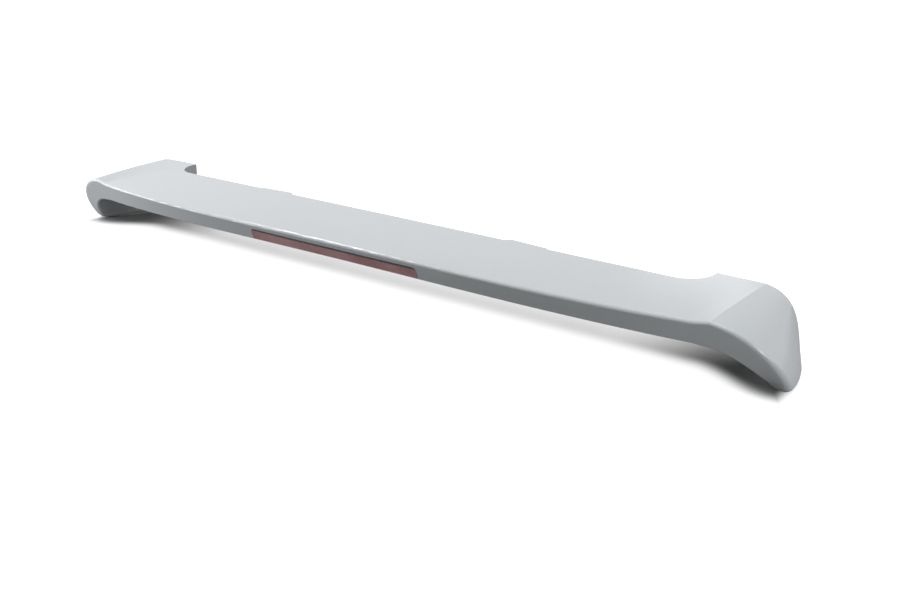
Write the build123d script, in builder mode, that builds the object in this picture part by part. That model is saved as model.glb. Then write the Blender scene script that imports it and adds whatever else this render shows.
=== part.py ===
from build123d import *
from math import acos, atan, cos, degrees, radians, sin, tan
import os

os.makedirs("parts", exist_ok=True)

# A rear roof spoiler with a built-in stop lamp, in millimetres. It stands on its two fins.
# X runs across the car, +Y points to the car's front, and Z = 0 is the surface under the fins.

# Plan of the blade
overall_depth = 218.0
blade_half = 528.0
trail_sweep = 44.0
arm_reach = 74.0
lead_sweep = 21.0
arm_width = 39.0
arm_fillet = 46.0
arm_corner_radius = 6.0
arm_front_slant = 3.5
arm_swell = 88.0

# Heights above the surface it stands on
blade_centre_height = 103.5
blade_crown = 11.0
ridge_rise = 3.0
arm_rise = 2.0

# Section of the blade
band_centre = 27.0
band_kink = 32.0
undercut = 9.0
nose_thickness = 8.0
arm_thickness = 26.0
top_bulge = 1.5
crease_radius = 4.0
edge_radius = 3.0
least_radius = 1.0
chamfer_share = 0.6
skin = 3.0

# Fins at the two ends, as seen from behind
ridge_width = 22.0
ridge_sweep = 2.5
fin_radius = 115.0
fin_start_angle = 9.0
fin_rake = 0.62
fin_band = 37.0
fin_depth = 31.0
fin_thinning = 1.2
fin_front_radius = 55.0
fin_front_width = 30.0
fin_front_start = 8.0
fin_front_end = 71.0
fin_front_sweep = 15.0
fin_bulge = 6.0
foot_tuck = 8.0
foot_band = 25.0
foot_depth = 46.0
foot_corner = 10.0
foot_rounding = 9.0

# Locating tabs on the leading edge
tab_inner = 206.0
tab_outer = 265.0
tab_reach_inner = 7.5
tab_reach_outer = 3.5
tab_bevel = 6.0
tab_thickness = 6.0

# Stop lamp in the trailing band
lamp_half = 151.0
lamp_hood = 10.0
lamp_corner = 6.0
lamp_depth = 31.0
lamp_gap = 0.4
lens_depth = 14.0
lens_wall = 2.5
lens_slant_wall = 3.75
housing_wall = 2.2
housing_end = 14.0
standoff_count = 4
standoff_pitch = 85.0
standoff_diameter = 4.0
standoff_sides = 6
standoff_length = 2.4
gasket_thickness = 1.2
gasket_border = 3.0
board_thickness = 1.6
board_margin = 0.3
led_count = 16
led_pitch = 17.0
led_width = 3.5
led_height = 2.8
led_depth = 1.9
reflector_thickness = 5.0
reflector_throat = 9.0
reflector_throat_height = 4.4
reflector_flare = 22.0
resistor_count = 4
resistor_pitch = 34.0
resistor_length = 6.0
resistor_width = 2.4
resistor_depth = 1.8
socket_x = 60.0
socket_width = 16.0
socket_height = 7.0
socket_depth = 11.0
socket_wall = 1.2
socket_gap = 0.3
pin_count = 2
pin_pitch = 6.0
pin_size = 0.8
pin_length = 6.0
lamp_screw_end = 8.0
lamp_screw_diameter = 3.0
lamp_screw_head = 5.6
lamp_screw_bite = 5.5
lamp_screw_slot = 0.8
lamp_screw_clearance = 0.2

# Threaded inserts under the arms and behind the leading edge
arm_insert_inset = 19.0
arm_insert_front = 26.0
arm_insert_spacing = 58.0
arm_insert_diameter = 9.0
arm_insert_length = 13.0
arm_thread = 5.0
tab_insert_inset = 29.0
tab_insert_back = 20.0
tab_insert_diameter = 7.0
tab_insert_length = 7.5
tab_thread = 4.2
boss_wall = 4.0
boss_sides = 8

# Foam pads, seal, grommet and plugs on the underside
pad_thickness = 3.0
pad_width = 28.0
pad_length = 96.0
pad_corner = 5.0
pad_hole_clearance = 1.5
seal_thickness = 2.5
seal_width = 9.0
seal_inset = 3.0
seal_end = 59.0
grommet_back = 46.0
grommet_bore = 5.0
grommet_hole = 14.0
grommet_flange = 20.0
grommet_collar = 17.0
grommet_proud = 2.0
plug_x = 350.0
plug_back = 70.0
plug_hole = 8.0
plug_flange = 13.0
plug_collar = 9.4
plug_proud = 1.5
collar_thickness = 2.0
flange_gap = 0.1

# Places that follow from the sizes above
rear = -overall_depth / 2
front = overall_depth / 2
ridge_y = rear + trail_sweep + ridge_sweep
lead_centre = front - arm_reach
arm_inner_half = blade_half - arm_width
arm_swell_half = blade_half - arm_swell
ridge_half = blade_half + ridge_width
fin_front_half = blade_half + fin_front_width
ridge_height = blade_centre_height - blade_crown + ridge_rise
arm_height = blade_centre_height - blade_crown + arm_rise
arm_insert_x = blade_half - arm_insert_inset
tab_insert_x = tab_inner + tab_insert_inset
seal_half = arm_inner_half - seal_end


# Height of the top skin of the blade, crowned across the car
def blade_height(x):
    return blade_centre_height - blade_crown * (x / blade_half) ** 2


# Trailing edge in plan, nearly straight in the middle and swept forward at the ends
def trailing_y(x):
    return rear + trail_sweep * abs(x / blade_half) ** 3


# Height of the trailing band at a place across the car
def band_height(x):
    return band_centre + (band_kink - band_centre) * abs(x / blade_half) ** 3


# Share of the arm's form at a place across the car: none along the blade, whole at its ends
def swell(x):
    share = min(max((abs(x) - arm_swell_half) / (blade_half - arm_swell_half), 0.0), 1.0)
    return share ** 2 * (3 - 2 * share)


# Depth of the front edge, thin along the blade and deep at the arms
def nose_depth(x):
    return nose_thickness + (arm_thickness - nose_thickness) * swell(x)


# Front edge of the arms, slanted a little towards the rear as it goes out
def arm_front_y(x):
    return front - arm_front_slant * max(abs(x) - arm_inner_half, 0.0) / (fin_front_half - arm_inner_half)


# Height of the top skin at the front edge of the arms
def front_height(x):
    return blade_height(x) + (arm_height - blade_height(x)) * swell(x)


# Height of the underside of the blade and arms
def underside_height(x, y):
    back_y = trailing_y(x) + undercut
    back_z = blade_height(x) - band_height(x)
    nose_z = front_height(x) - nose_depth(x)
    return back_z + (nose_z - back_z) * (y - back_y) / (arm_front_y(x) - back_y)


# Plane on the underside, its X axis forward and its Z axis out of the skin
def underside(x, y):
    forward = underside_height(x, y + 1) - underside_height(x, y)
    sideways = (underside_height(x + 1, y) - underside_height(x - 1, y)) / 2
    origin = (x, y, underside_height(x, y))
    return Plane(origin=origin, x_dir=(0, 1, forward), z_dir=(sideways, forward, -1))


# A cross-section of the spoiler, from the crease at its rear to its front edge,
# with the two corners of its outer skin rounded and the two of its hidden side chamfered
class Section:
    def __init__(self, crease, nose, lean, band, depth, bulge, rounding, corner, inset=0.0):
        self.crease, self.nose, self.lean = crease, nose, lean
        self.band, self.depth, self.bulge = band, depth, bulge
        self.rounding, self.corner, self.inset = rounding, corner, inset

    def face(self, side, wall=0.0):
        wall += self.inset
        crease = Vector(side * self.crease.X, self.crease.Y, self.crease.Z)
        nose = Vector(side * self.nose.X, self.nose.Y, self.nose.Z)
        outward = Vector(side * sin(radians(self.lean)), 0, cos(radians(self.lean)))
        along = nose - crease
        plane = Plane(origin=crease, x_dir=along, z_dir=along.cross(outward))
        corners = [
            (wall, -wall),
            (along.length - wall, -wall),
            (along.length - wall, wall - self.depth),
            (undercut + wall, wall - self.band),
        ]
        radii = [self.rounding - self.inset] + [self.corner - self.inset] * 3
        if wall > self.inset:
            radii = []
        with BuildSketch(plane) as profile:
            with BuildLine():
                ThreePointArc(corners[0], (along.length / 2, self.bulge - wall), corners[1])
                Polyline(*corners[1:], corners[0])
            make_face()
            for corner, radius in zip(corners, radii):
                at_corner = profile.vertices().sort_by(lambda v: (v.X - corner[0]) ** 2 + (v.Y - corner[1]) ** 2)
                if corner in corners[:2]:
                    fillet(at_corner[0], max(radius, least_radius))
                else:
                    chamfer(at_corner[0], chamfer_share * max(radius, least_radius))
        return profile.sketch.face()


# How far down the fin a height is, from 0 at the ridge to 1 at its foot
def fall(height):
    return 1 - height / ridge_height


# Crease of the fin: a round fall from the ridge to the foot, raked forward as it drops
def fin_crease(angle):
    drop = fin_radius * (cos(radians(fin_start_angle)) - cos(radians(angle)))
    x = ridge_half + fin_radius * (sin(radians(angle)) - sin(radians(fin_start_angle)))
    height = ridge_height - drop
    return Vector(x - foot_tuck * fall(height) ** 3, ridge_y + fin_rake * drop, height)


# Angle round the fin at which its crease is at a height
def fin_angle(height):
    return degrees(acos(cos(radians(fin_start_angle)) - (ridge_height - height) / fin_radius))


# Front edge of the fin: a tighter round that runs out into a straight line
def fin_nose(height):
    start, end = radians(fin_front_start), radians(fin_front_end)
    drop = arm_height - height
    round_drop = fin_front_radius * (cos(start) - cos(end))
    angle = acos(cos(start) - min(drop, round_drop) / fin_front_radius)
    x = fin_front_half + fin_front_radius * (sin(angle) - sin(start)) + max(drop - round_drop, 0.0) / tan(end)
    y = arm_front_y(fin_front_half) - fin_front_sweep * (drop / arm_height) ** 3
    return Vector(x - foot_tuck * (drop / arm_height) ** 3, y, height)


def blade_section(x):
    crease = Vector(x, trailing_y(x), blade_height(x))
    nose = Vector(x, arm_front_y(x), front_height(x))
    return Section(crease, nose, 0.0, band_height(x), nose_depth(x), top_bulge, crease_radius, edge_radius)


def fin_section(angle):
    crease = fin_crease(angle)
    nose = fin_nose(arm_height * crease.Z / ridge_height)
    share = fall(crease.Z)
    band = fin_band + (foot_band - fin_band) * share ** fin_thinning
    depth = fin_depth + (foot_depth - fin_depth) * share ** fin_thinning
    rounding = crease_radius + (foot_corner - crease_radius) * share
    corner = edge_radius + (foot_corner - edge_radius) * share ** 2
    return Section(crease, nose, angle, band, depth, top_bulge + fin_bulge * share, rounding, corner)


# The foot, rounded all round its lower edge, where the fin meets the surface it stands on
def foot_section(turn):
    height = foot_rounding * (1 - sin(radians(turn)))
    inset = foot_rounding * (1 - cos(radians(turn)))
    return Section(
        fin_crease(fin_angle(height)), fin_nose(height), 90.0,
        foot_band, foot_depth, top_bulge + fin_bulge, foot_corner, foot_corner, inset,
    )


foot_sections = [foot_section(turn) for turn in (0, 45, 90)]
fin_span = fin_angle(foot_rounding) - fin_start_angle
fin_sections = [fin_section(fin_start_angle + fin_span * share) for share in (0.0, 0.35, 0.7)]
arm_middle = (arm_swell_half + blade_half) / 2
blade_stations = (0, tab_insert_x / 2, tab_insert_x, plug_x, arm_swell_half, arm_middle, blade_half)
blade_sections = [blade_section(x) for x in blade_stations]


# Faces from the left end to the right end
def across(sections, wall=0.0):
    left = [section.face(-1, wall) for section in reversed(sections[1:])]
    right = [section.face(1, wall) for section in sections]
    return left + right


# Leading edge in plan, bowed forward towards the arms
def lead_y(x):
    return lead_centre + lead_sweep * (x / arm_inner_half) ** 2


# Area in plan ahead of the leading edge, between the arms and just clear of their front ends
def area_ahead(wall=0.0):
    inner = arm_inner_half + wall
    corner_y = lead_y(arm_inner_half) - wall
    front_line = front + lamp_gap - wall
    outer = ridge_half + fin_radius
    beyond = front + arm_fillet
    inner_corners = [Vector(side * inner, corner_y) for side in (-1, 1)]
    front_corners = [Vector(side * inner, front_line) for side in (-1, 1)]
    with BuildSketch() as area:
        with BuildLine():
            ThreePointArc(inner_corners[0], (0, lead_centre - wall), inner_corners[1])
            Polyline(
                inner_corners[1], front_corners[1], (outer, front_line), (outer, beyond),
                (-outer, beyond), (-outer, front_line), front_corners[0], inner_corners[0],
            )
        make_face()
        for corner in inner_corners:
            fillet(area.vertices().sort_by_distance(corner)[0], arm_fillet + wall)
        for corner in front_corners:
            fillet(area.vertices().sort_by_distance(corner)[0], arm_corner_radius - wall)
    return area.sketch


# Plan of one locating tab, from inside the leading edge to its slanted front
def tab_outline(side):
    root = tab_bevel
    return [
        (side * (tab_inner - tab_bevel - root), lead_y(tab_inner) - root),
        (side * tab_inner, lead_y(tab_inner) + tab_reach_inner),
        (side * tab_outer, lead_y(tab_outer) + tab_reach_outer),
        (side * (tab_outer + tab_bevel + root), lead_y(tab_outer) - root),
    ]


# Outer form of the whole moulding, with the fins and feet
with BuildPart() as shape:
    loft(across(blade_sections))
    for side in (-1, 1):
        loft([section.face(side) for section in (blade_sections[-1], fin_sections[0])], ruled=True)
        loft([section.face(side) for section in fin_sections + foot_sections[:1]])
        loft([section.face(side) for section in foot_sections])
    tab_underside = blade_height(tab_insert_x) - tab_thickness
    with BuildSketch():
        add(area_ahead())
    extrude(amount=tab_underside, mode=Mode.SUBTRACT)
    with BuildSketch(Plane.XY.offset(tab_underside)):
        add(area_ahead())
        for side in (-1, 1):
            with BuildLine():
                Polyline(*tab_outline(side), close=True)
            make_face(mode=Mode.SUBTRACT)
    extrude(amount=overall_depth, mode=Mode.SUBTRACT)

# Places of the threaded inserts, the cable grommet and the plugs of the blow holes
arm_insert_y = front - arm_insert_front
arm_insert_planes = [
    underside(side * arm_insert_x, y)
    for side in (-1, 1)
    for y in (arm_insert_y, arm_insert_y - arm_insert_spacing)
]
tab_insert_planes = [underside(side * tab_insert_x, lead_y(tab_insert_x) - tab_insert_back) for side in (-1, 1)]
grommet_plane = underside(0, rear + grommet_back)
plug_planes = [underside(side * plug_x, rear + plug_back) for side in (-1, 1)]

# Levels inside the lamp, from the rear forward and from the bottom up
lens_front = rear + lens_depth
recess_front = rear + lamp_depth
housing_front = recess_front - gasket_thickness
board_front = housing_front - housing_wall - standoff_length
board_back = board_front - board_thickness
lamp_top = blade_centre_height - lamp_hood
room_top = lamp_top - housing_wall
room_floor = underside_height(0, housing_front) + housing_wall
room_height = room_top - room_floor
room_middle = (room_top + room_floor) / 2
room_half = lamp_half - housing_end


# Upright block with rounded upper corners, as the lamp shows from behind
def lamp_block(margin, back, ahead):
    with BuildPart() as block:
        with BuildSketch(Plane.XZ.offset(-ahead)) as outline:
            with Locations((0, lamp_top - margin)):
                Rectangle(2 * (lamp_half - margin), 2 * band_kink, align=(Align.CENTER, Align.MAX))
            fillet(outline.vertices().group_by(Axis.Z)[-1], lamp_corner - margin)
        extrude(amount=ahead - back)
    return block.part


# Sketch plane facing the rear, its origin in the middle of the lamp's inner room
def facing_rear(y):
    return Plane(origin=(0, y, room_middle), x_dir=(1, 0, 0), z_dir=(0, -1, 0))


# Hollow inside the moulding, one skin thickness in from every face
with BuildPart() as hollow:
    loft(across(blade_sections + fin_sections, skin), ruled=True)
    with BuildSketch():
        add(area_ahead(skin))
    extrude(amount=overall_depth, mode=Mode.SUBTRACT)
    add(lamp_block(-lamp_gap - skin, rear - skin, recess_front + skin), mode=Mode.SUBTRACT)
    with BuildSketch(Plane.XY.offset(lamp_top)):
        with Locations((0, rear)):
            Rectangle(2 * (lamp_half + lamp_gap + skin), 2 * (lamp_depth + skin))
    extrude(amount=lamp_hood, mode=Mode.SUBTRACT)
    with BuildSketch(*arm_insert_planes):
        RegularPolygon(arm_insert_diameter / 2 + boss_wall, boss_sides)
    extrude(amount=-arm_insert_length - boss_wall, mode=Mode.SUBTRACT)
    with BuildSketch(*tab_insert_planes):
        RegularPolygon(tab_insert_diameter / 2 + boss_wall, boss_sides)
    extrude(amount=-tab_insert_length - boss_wall, mode=Mode.SUBTRACT)

# The moulded body, with its lamp recess and its holes
with BuildPart() as spoiler_body:
    add(shape.part)
    add(hollow.part, mode=Mode.SUBTRACT)
    add(lamp_block(-lamp_gap, rear - skin, recess_front), mode=Mode.SUBTRACT)
    with BuildSketch(facing_rear(recess_front)):
        with Locations((socket_x, 0)):
            Rectangle(socket_width + 2 * socket_gap, socket_height + 2 * socket_gap)
    extrude(amount=-2 * skin, mode=Mode.SUBTRACT)
    with BuildSketch(Plane.XY.offset(lamp_top)):
        with Locations(*[(side * (lamp_half - lamp_screw_end), (lens_front + housing_front) / 2) for side in (-1, 1)]):
            Circle(lamp_screw_diameter / 2)
    extrude(amount=lamp_screw_bite, mode=Mode.SUBTRACT)
    with BuildSketch(*arm_insert_planes):
        Circle(arm_insert_diameter / 2)
    extrude(amount=-arm_insert_length, both=True, mode=Mode.SUBTRACT)
    with BuildSketch(*tab_insert_planes):
        Circle(tab_insert_diameter / 2)
    extrude(amount=-tab_insert_length, both=True, mode=Mode.SUBTRACT)
    with BuildSketch(grommet_plane):
        Circle(grommet_hole / 2)
    extrude(amount=-2 * skin, both=True, mode=Mode.SUBTRACT)
    with BuildSketch(*plug_planes):
        Circle(plug_hole / 2)
    extrude(amount=-2 * skin, both=True, mode=Mode.SUBTRACT)
spoiler_body.part.label = "spoiler_body"
export_step(spoiler_body.part, "parts/spoiler_body.step")

# The part of the outer form that the lamp fills
with BuildPart() as lamp_form:
    add(lamp_block(0, rear - skin, recess_front))
    add(shape.part, mode=Mode.INTERSECT)

# Clear red lens, hollow, following the slant of the trailing band
with BuildPart() as lens_room:
    add(Pos(0, lens_slant_wall, lens_wall) * lamp_form.part)
    add(lamp_block(lens_wall, rear, lens_front), mode=Mode.INTERSECT)
with BuildPart() as lamp_lens:
    add(lamp_form.part)
    add(lamp_block(0, rear - skin, lens_front), mode=Mode.INTERSECT)
    add(lens_room.part, mode=Mode.SUBTRACT)
lamp_lens.part.label = "lamp_lens"
export_step(lamp_lens.part, "parts/lamp_lens.step")

# Places of the lamp's screws, on the underside of the housing
screw_places = [
    (side * (lamp_half - lamp_screw_end), (lens_front + housing_front) / 2,
     underside_height(lamp_half - lamp_screw_end, (lens_front + housing_front) / 2))
    for side in (-1, 1)
]
screw_head_depth = (lamp_screw_head - lamp_screw_diameter) / 2

# Housing behind the lens, with a room for the board and standoffs at its front
with BuildPart() as lamp_housing:
    add(lamp_form.part)
    add(lamp_block(0, lens_front, housing_front), mode=Mode.INTERSECT)
    with BuildSketch(facing_rear(housing_front - housing_wall)):
        Rectangle(2 * room_half, room_height)
    extrude(amount=lamp_depth, mode=Mode.SUBTRACT)
    with BuildSketch(facing_rear(housing_front - housing_wall)):
        with GridLocations(standoff_pitch, 1, standoff_count, 1):
            RegularPolygon(standoff_diameter / 2, standoff_sides)
    extrude(amount=standoff_length)
    with BuildSketch(facing_rear(housing_front)):
        with Locations((socket_x, 0)):
            with GridLocations(pin_pitch, 1, pin_count, 1):
                Rectangle(pin_size, pin_size)
    extrude(amount=housing_wall, mode=Mode.SUBTRACT)
    with Locations(*screw_places):
        Cone(
            lamp_screw_head / 2 + lamp_screw_clearance, lamp_screw_diameter / 2 + lamp_screw_clearance,
            screw_head_depth, align=(Align.CENTER, Align.CENTER, Align.MIN), mode=Mode.SUBTRACT,
        )
        Cylinder(lamp_screw_diameter / 2 + lamp_screw_clearance, 2 * band_kink, mode=Mode.SUBTRACT)
lamp_housing.part.label = "lamp_housing"
export_step(lamp_housing.part, "parts/lamp_housing.step")

# Foam gasket between the housing and the recess
with BuildPart() as lamp_gasket:
    add(lamp_form.part)
    add(lamp_block(0, housing_front, recess_front), mode=Mode.INTERSECT)
    with BuildSketch(facing_rear(recess_front)):
        Rectangle(2 * (lamp_half - gasket_border), socket_height + 2 * socket_gap)
    extrude(amount=gasket_thickness, mode=Mode.SUBTRACT)
lamp_gasket.part.label = "lamp_gasket"
export_step(lamp_gasket.part, "parts/lamp_gasket.step")

# Circuit board on the standoffs
with BuildPart() as lamp_circuit_board:
    with BuildSketch(facing_rear(board_front)):
        Rectangle(2 * (room_half - board_margin), room_height - 2 * board_margin)
    extrude(amount=board_thickness)
lamp_circuit_board.part.label = "lamp_circuit_board"
export_step(lamp_circuit_board.part, "parts/lamp_circuit_board.step")

# Row of light-emitting diodes on the rear of the board
with BuildPart() as lamp_leds:
    with BuildSketch(facing_rear(board_back)):
        with GridLocations(led_pitch, 1, led_count, 1):
            Rectangle(led_width, led_height)
    extrude(amount=led_depth)
lamp_leds.part.label = "lamp_leds"
export_step(lamp_leds.part, "parts/lamp_leds.step")

# Resistors on the front of the board
with BuildPart() as lamp_resistors:
    with BuildSketch(facing_rear(board_front)):
        with GridLocations(resistor_pitch, 1, resistor_count, 1):
            Rectangle(resistor_length, resistor_width)
    extrude(amount=-resistor_depth)
lamp_resistors.part.label = "lamp_resistors"
export_step(lamp_resistors.part, "parts/lamp_resistors.step")

# Reflector with an oblong cell in front of each diode, its sides flared towards the lens
with BuildPart() as lamp_reflector:
    with BuildSketch(facing_rear(board_back)):
        Rectangle(2 * (room_half - board_margin), room_height - 2 * board_margin)
    extrude(amount=reflector_thickness)
    with BuildSketch(facing_rear(board_back)):
        with GridLocations(led_pitch, 1, led_count, 1):
            Rectangle(reflector_throat, reflector_throat_height)
    extrude(amount=reflector_thickness, taper=-reflector_flare, mode=Mode.SUBTRACT)
lamp_reflector.part.label = "lamp_reflector"
export_step(lamp_reflector.part, "parts/lamp_reflector.step")

# Plug socket on the front of the housing, open to the cavity of the body
with BuildPart() as lamp_socket:
    with BuildSketch(facing_rear(housing_front)):
        with Locations((socket_x, 0)):
            Rectangle(socket_width, socket_height)
    extrude(amount=-socket_depth)
    with BuildSketch(facing_rear(housing_front + socket_depth)):
        with Locations((socket_x, 0)):
            Rectangle(socket_width - 2 * socket_wall, socket_height - 2 * socket_wall)
    extrude(amount=socket_depth - socket_wall, mode=Mode.SUBTRACT)
    with BuildSketch(facing_rear(housing_front + socket_wall)):
        with Locations((socket_x, 0)):
            with GridLocations(pin_pitch, 1, pin_count, 1):
                Rectangle(pin_size, pin_size)
    extrude(amount=socket_wall, mode=Mode.SUBTRACT)
lamp_socket.part.label = "lamp_socket"
export_step(lamp_socket.part, "parts/lamp_socket.step")

# Contact pins from the board through the housing into the socket
with BuildPart() as lamp_socket_pins:
    with BuildSketch(facing_rear(housing_front + socket_wall + pin_length)):
        with Locations((socket_x, 0)):
            with GridLocations(pin_pitch, 1, pin_count, 1):
                Rectangle(pin_size, pin_size)
    extrude(amount=housing_front + socket_wall + pin_length - board_front)
lamp_socket_pins.part.label = "lamp_socket_pins"
export_step(lamp_socket_pins.part, "parts/lamp_socket_pins.step")

# Two countersunk screws that hold the lamp up under the hood
with BuildPart() as lamp_screws:
    with Locations(*screw_places):
        Cone(
            lamp_screw_head / 2, lamp_screw_diameter / 2, screw_head_depth,
            align=(Align.CENTER, Align.CENTER, Align.MIN),
        )
        Cylinder(
            lamp_screw_diameter / 2, lamp_top + lamp_screw_bite - screw_places[0][2],
            align=(Align.CENTER, Align.CENTER, Align.MIN),
        )
        for turn in (0, 90):
            Box(lamp_screw_head / 2, lamp_screw_slot, screw_head_depth, rotation=(0, 0, turn), mode=Mode.SUBTRACT)
lamp_screws.part.label = "lamp_screws"
export_step(lamp_screws.part, "parts/lamp_screws.step")


# Brass threaded inserts, flush with the underside
def inserts(planes, diameter, thread, length):
    with BuildPart() as group:
        with BuildSketch(*planes):
            Circle(diameter / 2)
            Circle(thread / 2, mode=Mode.SUBTRACT)
        extrude(amount=-length)
    return group.part


with BuildPart() as arm_inserts:
    add(inserts(arm_insert_planes, arm_insert_diameter, arm_thread, arm_insert_length))
arm_inserts.part.label = "arm_inserts"
export_step(arm_inserts.part, "parts/arm_inserts.step")

with BuildPart() as tab_inserts:
    add(inserts(tab_insert_planes, tab_insert_diameter, tab_thread, tab_insert_length))
tab_inserts.part.label = "tab_inserts"
export_step(tab_inserts.part, "parts/tab_inserts.step")

# Foam pads under the arms, with a hole round each insert
for side, name in ((-1, "arm_pad_left"), (1, "arm_pad_right")):
    with BuildPart() as arm_pad:
        with BuildSketch(underside(side * arm_insert_x, arm_insert_y - arm_insert_spacing / 2).offset(pad_thickness)):
            RectangleRounded(pad_length, pad_width, pad_corner)
            with GridLocations(arm_insert_spacing, 1, 2, 1):
                Circle(arm_insert_diameter / 2 + pad_hole_clearance, mode=Mode.SUBTRACT)
        extrude(amount=-2 * pad_thickness)
        add(shape.part, mode=Mode.SUBTRACT)
    arm_pad.part.label = name
    export_step(arm_pad.part, "parts/" + name + ".step")

# Foam seal along the underside, just behind the leading edge
with BuildPart() as leading_edge_seal:
    with BuildSketch():
        with BuildLine():
            seal_front = [(x, lead_y(x) - seal_inset) for x in (-seal_half, 0, seal_half)]
            seal_back = [(x, y - seal_width) for x, y in reversed(seal_front)]
            ThreePointArc(*seal_front)
            Line(seal_front[-1], seal_back[0])
            ThreePointArc(*seal_back)
            Line(seal_back[-1], seal_front[0])
        make_face()
    extrude(amount=blade_centre_height)
    add(Pos(0, 0, -seal_thickness) * shape.part, mode=Mode.INTERSECT)
    add(shape.part, mode=Mode.SUBTRACT)
leading_edge_seal.part.label = "leading_edge_seal"
export_step(leading_edge_seal.part, "parts/leading_edge_seal.step")


# Push-in rubber piece: a flange outside, a neck through the skin and a collar inside
def push_in(planes, hole, flange, collar, proud):
    with BuildPart() as group:
        with BuildSketch(*[plane.offset(flange_gap) for plane in planes]):
            Circle(flange / 2)
        extrude(amount=proud)
        with BuildSketch(*[plane.offset(flange_gap) for plane in planes]):
            Circle(hole / 2)
        extrude(amount=-skin - 2 * flange_gap)
        with BuildSketch(*[plane.offset(-skin - flange_gap) for plane in planes]):
            Circle(collar / 2)
        extrude(amount=-collar_thickness)
    return group.part


with BuildPart() as cable_grommet:
    add(push_in([grommet_plane], grommet_hole, grommet_flange, grommet_collar, grommet_proud))
    with BuildSketch(grommet_plane):
        Circle(grommet_bore / 2)
    extrude(amount=2 * skin + collar_thickness, both=True, mode=Mode.SUBTRACT)
cable_grommet.part.label = "cable_grommet"
export_step(cable_grommet.part, "parts/cable_grommet.step")

with BuildPart() as blow_hole_plugs:
    add(push_in(plug_planes, plug_hole, plug_flange, plug_collar, plug_proud))
blow_hole_plugs.part.label = "blow_hole_plugs"
export_step(blow_hole_plugs.part, "parts/blow_hole_plugs.step")
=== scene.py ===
import math

import bmesh
import bpy
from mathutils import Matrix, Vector


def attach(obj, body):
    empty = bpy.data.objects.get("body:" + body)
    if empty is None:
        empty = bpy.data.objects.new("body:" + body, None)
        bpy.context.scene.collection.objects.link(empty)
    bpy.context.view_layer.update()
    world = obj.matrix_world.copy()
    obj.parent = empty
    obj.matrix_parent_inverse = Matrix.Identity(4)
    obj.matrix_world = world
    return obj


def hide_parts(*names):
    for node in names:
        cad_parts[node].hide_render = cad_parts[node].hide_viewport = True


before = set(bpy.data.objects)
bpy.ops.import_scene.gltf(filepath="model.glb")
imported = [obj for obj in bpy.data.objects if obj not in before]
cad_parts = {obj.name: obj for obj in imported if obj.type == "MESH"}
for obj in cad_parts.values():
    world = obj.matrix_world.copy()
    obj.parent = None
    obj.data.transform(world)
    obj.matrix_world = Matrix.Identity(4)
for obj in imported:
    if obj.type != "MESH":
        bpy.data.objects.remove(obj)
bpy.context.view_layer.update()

# Camera, solved from the photograph's 920 by 613 frame, in metres
camera_place = Vector((1.021, -1.2545, 0.6145))
camera_forward = Vector((-0.5292, 0.7631, -0.3711))
photo_width = 920.0
focal_pixels = 1150.0
sensor_width = 36.0
clip_distance = 50.0

# Floor: half its side, its grey in the light and to the camera, and its share in reflections
floor_half = 12.0
floor_grey = (120, 120, 120)
floor_shown_grey = (170, 170, 170)
floor_roughness = 0.9
floor_in_reflections = 0.2

# Painted light: glow that the camera sees on the floor, and how far from the middle it fades in the
# painted shade
glow_away = 0.96
glow_under_middle = 0.5
glow_under_ends = 0.0
glow_fade_span = (0.36, 0.56)

# The painted shade lies between two lines along the blade, which bend towards the lamp's side near the
# ends
near_line = (0.05, 0.005)
near_bend_span = (0.5, 0.62)
far_line = (0.07, 0.0)
far_bend_span = (0.56, 0.62)

# Width of the soft border along both lines, and where the painted shade ends beyond the feet
shade_border = 0.06
shade_end_span = (0.612, 0.648)

# Dim light from all round, and the lights: name, place, size and power in watts
world_fill = 0.07
lights = [
    ("overhead", (1.2, -0.1, 3.6), (3.0, 2.4), 42.0),
    ("left_strip", (-2.5, -0.6, 3.15), (2.6, 0.2), 94.0),
    ("right_window", (2.6, 0.4, 0.9), (1.4, 1.2), 8.0),
    ("near_top", (0.45, 0.5, 0.9), (0.4, 0.4), 1.3),
    ("ridge_glint", (-0.18, 1.76, 0.63), (0.3, 0.3), 0.38),
    ("left_low", (-1.5, -0.75, 0.25), (1.1, 0.5), 11.0),
    ("right_low", (1.6, -0.36, 0.16), (0.4, 0.3), 3.8),
]

# Lens: how it takes the light, its colours, its upright ribs, and the painted shade of the gap along
# its top from this height up
lens_optics = {
    "Specular IOR Level": 0.5,
    "Transmission Weight": 0.1,
    "IOR": 1.49,
    "Coat Weight": 1.0,
    "Coat Roughness": 0.06,
}
lens_deep = (182, 104, 108)
lens_pale = (216, 152, 155)
lens_rough = (0.12, 0.2)
lens_grain = 16.0
lens_detail = 2.0
lens_rib_pitch = 0.004
lens_rib_bump = (0.5, 0.6)
lens_gap_shade_start = 0.0905
lens_gap_shade_fade = 0.0004
lens_gap_shade_colour = (24, 20, 21)

# Noise of the finishes: the broad grain against the fine, their detail, and the span that colours use
broad_share = 12.0
broad_detail = 3.0
fine_detail = 4.0
colour_span = (0.3, 0.7)

# Angle past which an edge stays crisp, and the distance within which corners are merged
crisp_angle = math.radians(8.0)
merge_distance = 0.00001

white = (1.0, 1.0, 1.0, 1.0)
whole = (0.0, 1.0)

# The curve between a picture's colour values and a shader's linear ones
picture_full = 255.0
curve_offset = 0.055
curve_power = 2.4


def linear(red, green, blue):
    """Colour values of a picture, 0 to 255, as the linear ones that a shader takes."""
    shares = [value / picture_full for value in (red, green, blue)]
    return [((share + curve_offset) / (1.0 + curve_offset)) ** curve_power for share in shares] + [1.0]


# Steps that the shaders share

def connect(links, source, socket):
    """Link an output to a socket, or write a plain value on it."""
    if isinstance(source, bpy.types.NodeSocket):
        links.new(source, socket)
    else:
        socket.default_value = source


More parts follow.
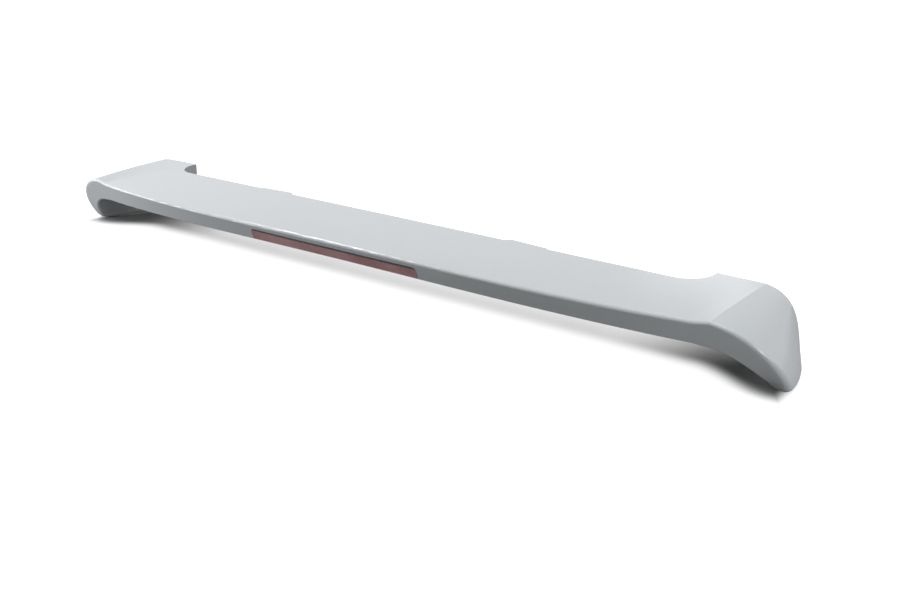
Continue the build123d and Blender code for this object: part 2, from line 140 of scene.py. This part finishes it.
def number_step(nodes, links, operation, *sources):
    """One arithmetic step on outputs or plain values."""
    step = nodes.new("ShaderNodeMath")
    step.operation = operation
    for source, socket in zip(sources, step.inputs):
        connect(links, source, socket)
    return step.outputs["Value"]


def carried(nodes, links, source, limits, ends, course="LINEAR"):
    """The source carried from its two limits to two ends."""
    step = nodes.new("ShaderNodeMapRange")
    step.interpolation_type = course
    connect(links, source, step.inputs["Value"])
    connect(links, limits[0], step.inputs["From Min"])
    connect(links, limits[1], step.inputs["From Max"])
    connect(links, ends[0], step.inputs["To Min"])
    connect(links, ends[1], step.inputs["To Max"])
    return step.outputs["Result"]


def soft_step(nodes, links, source, limits, ends):
    return carried(nodes, links, source, limits, ends, "SMOOTHSTEP")


def own_place(nodes):
    """Object coordinates, which stay put on the piece."""
    return nodes.new("ShaderNodeTexCoord").outputs["Object"]


def own_place_parts(nodes, links):
    split = nodes.new("ShaderNodeSeparateXYZ")
    links.new(own_place(nodes), split.inputs["Vector"])
    return split.outputs


def own_noise(nodes, links, scale, detail):
    noise = nodes.new("ShaderNodeTexNoise")
    noise.inputs["Scale"].default_value = scale
    noise.inputs["Detail"].default_value = detail
    links.new(own_place(nodes), noise.inputs["Vector"])
    return noise.outputs["Fac"]


# Materials

def new_material(name):
    material = bpy.data.materials.new(name)
    material.use_nodes = True
    nodes = material.node_tree.nodes
    return material, nodes, material.node_tree.links, nodes["Principled BSDF"]


def varied_colour(nodes, links, noise, low, high):
    """A colour that follows the noise from low to high."""
    blend = nodes.new("ShaderNodeValToRGB")
    blend.color_ramp.elements[0].position = colour_span[0]
    blend.color_ramp.elements[1].position = colour_span[1]
    blend.color_ramp.elements[0].color = linear(*low)
    blend.color_ramp.elements[1].color = linear(*high)
    links.new(noise, blend.inputs["Fac"])
    return blend.outputs["Color"]


def add_bump(nodes, links, shader, height, strength, distance):
    bump = nodes.new("ShaderNodeBump")
    bump.inputs["Strength"].default_value = strength
    bump.inputs["Distance"].default_value = distance
    links.new(height, bump.inputs["Height"])
    links.new(bump.outputs["Normal"], shader.inputs["Normal"])


def surface(name, low, high, rough, grain, bump=(0.2, 0.0002), metallic=0.0, specular=0.5):
    """A finish with colour, roughness and bump from noise of the given grain."""
    material, nodes, links, shader = new_material(name)
    shader.inputs["Metallic"].default_value = metallic
    shader.inputs["Specular IOR Level"].default_value = specular
    broad = own_noise(nodes, links, grain / broad_share, broad_detail)
    fine = own_noise(nodes, links, grain, fine_detail)
    links.new(varied_colour(nodes, links, broad, low, high), shader.inputs["Base Color"])
    links.new(carried(nodes, links, broad, whole, rough), shader.inputs["Roughness"])
    add_bump(nodes, links, shader, fine, *bump)
    return material


def lens_material():
    """Clear red with fine upright ribs, and painted shade of the gap along its upper edge."""
    material, nodes, links, shader = new_material("dark_red_lens")
    for setting, value in lens_optics.items():
        shader.inputs[setting].default_value = value
    place = own_place_parts(nodes, links)
    broad = own_noise(nodes, links, lens_grain, lens_detail)
    links.new(carried(nodes, links, broad, whole, lens_rough), shader.inputs["Roughness"])
    # Painted shade: a dark band along the lens's upper edge stands in for the shadow in the gap above
    # it
    gap_shade_limits = (lens_gap_shade_start, lens_gap_shade_start + lens_gap_shade_fade)
    shade = nodes.new("ShaderNodeMix")
    shade.data_type = "RGBA"
    shade.inputs["B"].default_value = linear(*lens_gap_shade_colour)
    links.new(carried(nodes, links, place["Z"], gap_shade_limits, whole), shade.inputs["Factor"])
    links.new(varied_colour(nodes, links, broad, lens_deep, lens_pale), shade.inputs["A"])
    links.new(shade.outputs["Result"], shader.inputs["Base Color"])
    ribs = number_step(nodes, links, "PINGPONG", place["X"], lens_rib_pitch / 2.0)
    add_bump(nodes, links, shader, ribs, *lens_rib_bump)
    return material


primer = surface("grey_primer", (203, 208, 211), (205, 210, 213), rough=(0.24, 0.27), grain=2500.0,
                 bump=(0.04, 0.00001), specular=0.6)
lens_red = lens_material()
black_plastic = surface("black_plastic", (26, 26, 27), (34, 34, 35), rough=(0.5, 0.6), grain=700.0)
foam = surface("black_foam", (38, 38, 40), (50, 50, 52), rough=(0.85, 0.95), grain=1500.0,
               bump=(0.6, 0.0004))
rubber = surface("black_rubber", (30, 30, 31), (38, 38, 39), rough=(0.6, 0.7), grain=900.0)
reflector_silver = surface("bright_reflector", (215, 215, 218), (225, 225, 228), rough=(0.12, 0.2),
                           grain=300.0, bump=(0.05, 0.0001), metallic=1.0)
board_green = surface("green_board", (38, 96, 58), (46, 108, 66), rough=(0.35, 0.45), grain=500.0)
diode_white = surface("pale_diode", (224, 220, 205), (234, 230, 216), rough=(0.25, 0.35), grain=400.0)
zinc = surface("zinc_steel", (186, 188, 186), (200, 201, 198), rough=(0.25, 0.38), grain=900.0,
               metallic=1.0)
brass = surface("machined_brass", (205, 172, 104), (216, 184, 118), rough=(0.25, 0.38), grain=900.0,
                metallic=1.0)

node_finish = {
    "spoiler_body": primer,
    "lamp_lens": lens_red,
    "lamp_housing": black_plastic,
    "lamp_gasket": foam,
    "lamp_circuit_board": board_green,
    "lamp_leds": diode_white,
    "lamp_resistors": black_plastic,
    "lamp_reflector": reflector_silver,
    "lamp_socket": black_plastic,
    "lamp_socket_pins": brass,
    "lamp_screws": zinc,
    "arm_inserts": brass,
    "tab_inserts": brass,
    "arm_pad_left": foam,
    "arm_pad_right": foam,
    "leading_edge_seal": foam,
    "cable_grommet": rubber,
    "blow_hole_plugs": rubber,
}


# Pieces

def add_object(name, data):
    item = bpy.data.objects.new(name, data)
    bpy.context.scene.collection.objects.link(item)
    return item


def add_shape(name, shape, material):
    """The shape as a new object with its material."""
    mesh = bpy.data.meshes.new(name)
    shape.to_mesh(mesh)
    shape.free()
    piece = add_object(name, mesh)
    piece.data.materials.append(material)
    return piece


def add_piece(node, name):
    """The node's own shape as one merged surface, shaded smooth except at its crisp edges."""
    shape = bmesh.new()
    shape.from_mesh(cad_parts[node].data)
    bmesh.ops.remove_doubles(shape, verts=shape.verts[:], dist=merge_distance)
    for face in shape.faces:
        face.smooth = True
    for edge in shape.edges:
        edge.smooth = len(edge.link_faces) == 2 and edge.calc_face_angle(0.0) < crisp_angle
    piece = add_shape(name, shape, node_finish[node])
    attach(piece, "root")
    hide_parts(node)


for node in node_finish:
    add_piece(node, node + "_finish")


# Floor, lights and camera

def matt(shader, grey):
    shader.inputs["Base Color"].default_value = linear(*grey)
    shader.inputs["Roughness"].default_value = floor_roughness
    shader.inputs["Specular IOR Level"].default_value = 0.0


def floor_glow(nodes, links):
    """Glow of the floor, painted light that is full away from the object and less in a painted band of
    shade under it.
    """
    # Painted light and shade: the glow hides the floor's real shadow except inside the band set by the
    # lines below
    place = own_place_parts(nodes, links)
    across = number_step(nodes, links, "ABSOLUTE", place["X"])
    near = soft_step(nodes, links, across, near_bend_span, near_line)
    far = soft_step(nodes, links, across, far_bend_span, far_line)
    before = number_step(nodes, links, "SUBTRACT", near, place["Y"])
    behind = number_step(nodes, links, "SUBTRACT", place["Y"], far)
    outside = number_step(nodes, links, "MAXIMUM", before, behind)
    past_line = soft_step(nodes, links, outside, (0.0, shade_border), whole)
    past_end = soft_step(nodes, links, across, shade_end_span, whole)
    away = number_step(nodes, links, "MAXIMUM", past_line, past_end)
    under = soft_step(nodes, links, across, glow_fade_span, (glow_under_middle, glow_under_ends))
    return soft_step(nodes, links, away, whole, (under, glow_away))


def floor_material():
    """A pale floor that the camera sees brighter than the light it throws back on the object."""
    material, nodes, links, shader = new_material("pale_floor")
    matt(shader, floor_grey)
    shown = nodes.new("ShaderNodeBsdfPrincipled")
    matt(shown, floor_shown_grey)
    shown.inputs["Emission Color"].default_value = white
    links.new(floor_glow(nodes, links), shown.inputs["Emission Strength"])
    rays = nodes.new("ShaderNodeLightPath").outputs
    seen = number_step(nodes, links, "MULTIPLY_ADD", rays["Is Glossy Ray"], floor_in_reflections,
                       rays["Is Camera Ray"])
    choice = nodes.new("ShaderNodeMixShader")
    links.new(seen, choice.inputs["Fac"])
    links.new(shader.outputs["BSDF"], choice.inputs[1])
    links.new(shown.outputs["BSDF"], choice.inputs[2])
    links.new(choice.outputs["Shader"], nodes["Material Output"].inputs["Surface"])
    return material


def add_floor():
    shape = bmesh.new()
    bmesh.ops.create_grid(shape, x_segments=1, y_segments=1, size=floor_half)
    floor = add_shape("floor", shape, floor_material())


def add_area_light(name, place, size, watts):
    """A light at its place that faces the middle of the frame."""
    data = bpy.data.lights.new(name, "AREA")
    data.shape = "RECTANGLE"
    data.size, data.size_y = size
    data.energy = watts
    light = add_object(name, data)
    light.location = place
    light.rotation_euler = (-Vector(place)).to_track_quat("-Z", "Y").to_euler()


def add_world():
    """White to the camera and in reflections, and a dim fill for everything else."""
    world = bpy.data.worlds.new("studio")
    bpy.context.scene.world = world
    world.use_nodes = True
    nodes = world.node_tree.nodes
    links = world.node_tree.links
    background = nodes["Background"]
    background.inputs["Color"].default_value = white
    rays = nodes.new("ShaderNodeLightPath").outputs
    shown = number_step(nodes, links, "MAXIMUM", rays["Is Camera Ray"], rays["Is Glossy Ray"])
    level = carried(nodes, links, shown, whole, (world_fill, 1.0))
    links.new(level, background.inputs["Strength"])


def add_camera():
    data = bpy.data.cameras.new("camera")
    data.sensor_width = sensor_width
    data.lens = focal_pixels * sensor_width / photo_width
    data.clip_end = clip_distance
    camera = add_object("camera", data)
    camera.location = camera_place
    camera.rotation_euler = camera_forward.to_track_quat("-Z", "Y").to_euler()
    bpy.context.scene.camera = camera


add_floor()
add_world()
for name, place, size, watts in lights:
    add_area_light(name, place, size, watts)
add_camera()
bpy.context.scene.view_settings.view_transform = "Standard"
